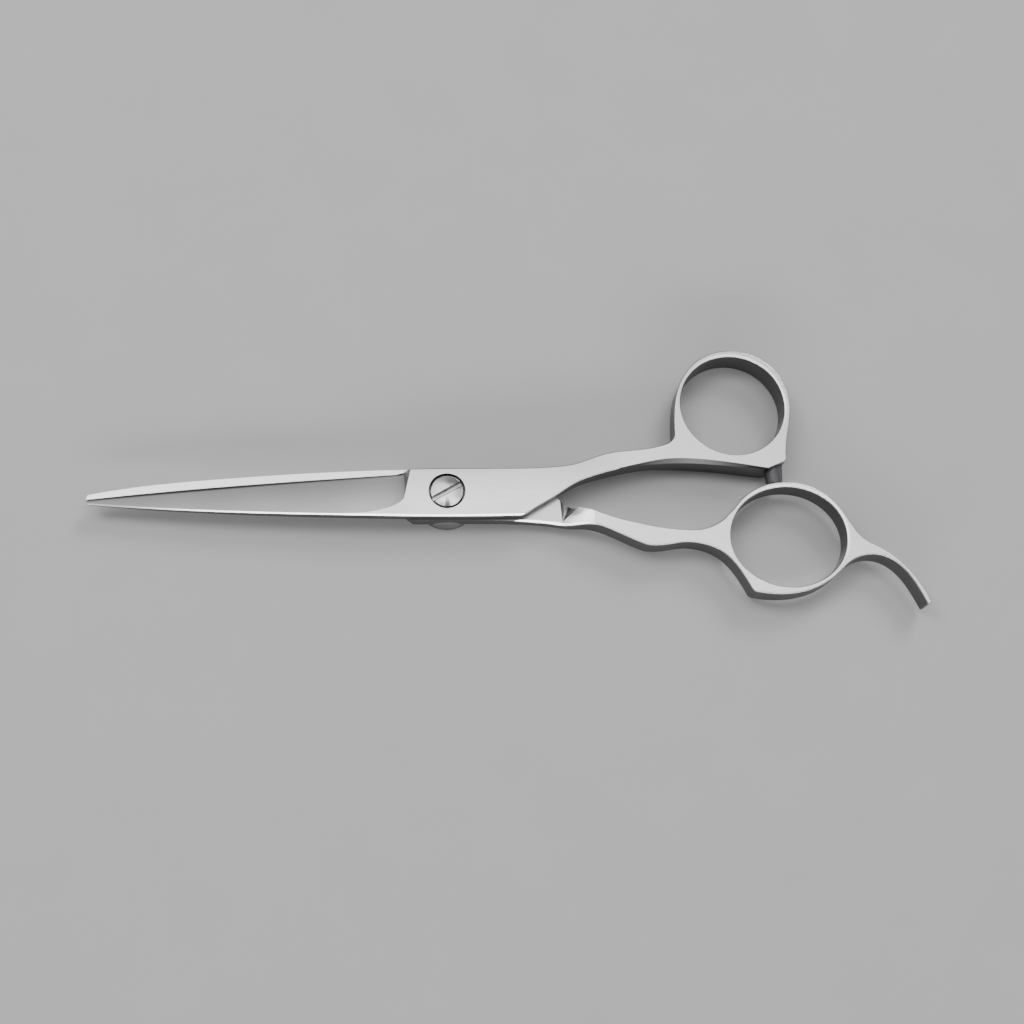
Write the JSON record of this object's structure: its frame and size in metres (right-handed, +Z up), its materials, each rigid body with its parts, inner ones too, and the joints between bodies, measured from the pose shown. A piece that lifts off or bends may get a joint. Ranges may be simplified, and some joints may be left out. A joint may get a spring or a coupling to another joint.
{
  "type": "hair cutting shears",
  "caption": "Offset-handle hair cutting shears with slim tapered blades, slotted tension screw, round thumb ring, oval finger ring with a curved little-finger rest, and a rubber bumper.",
  "frame": {"origin": "on the pivot axis, at the centre of the hub nut's flat underside, which rests on the table", "axes": "+Z up along the pivot axis, towards the slotted screw head; the points lie towards -X and the handles towards +X; the thumb ring is on the +Y side and the finger ring on the -Y side"},
  "size_m": [0.1666, 0.0554, 0.0066],
  "materials": {
    "satin_steel": "satin ground stainless steel",
    "polished_steel": "polished stainless steel",
    "spring_steel": "plain spring steel",
    "bush_bronze": "plain bearing bronze",
    "nylon": "natural nylon",
    "bumper_rubber": "soft matte rubber"
  },
  "bodies": {
    "finger_lever": {"finger_blade": "satin_steel", "hub_nut": "polished_steel", "hub_pins": "polished_steel", "blade_washer": "nylon"},
    "thumb_lever": {"thumb_blade": "satin_steel", "pivot_bush": "bush_bronze", "spring_washer": "spring_steel", "bumper": "bumper_rubber", "bumper_stud": "polished_steel"},
    "screw": {"tension_screw": "polished_steel", "lock_sleeve": "nylon"}
  },
  "joints": [
    {"name": "blade_pivot", "type": "hinge", "parent": "finger_lever", "child": "thumb_lever", "pos_m": [0, 0, 0.0042], "axis": [0, 0, 1], "range_deg": [0, 135]},
    {"name": "tension_screw_turn", "type": "hinge", "parent": "finger_lever", "child": "screw", "pos_m": [0, 0, 0.0042], "axis": [0, 0, 1], "range_deg": [-180, 180]}
  ]
}
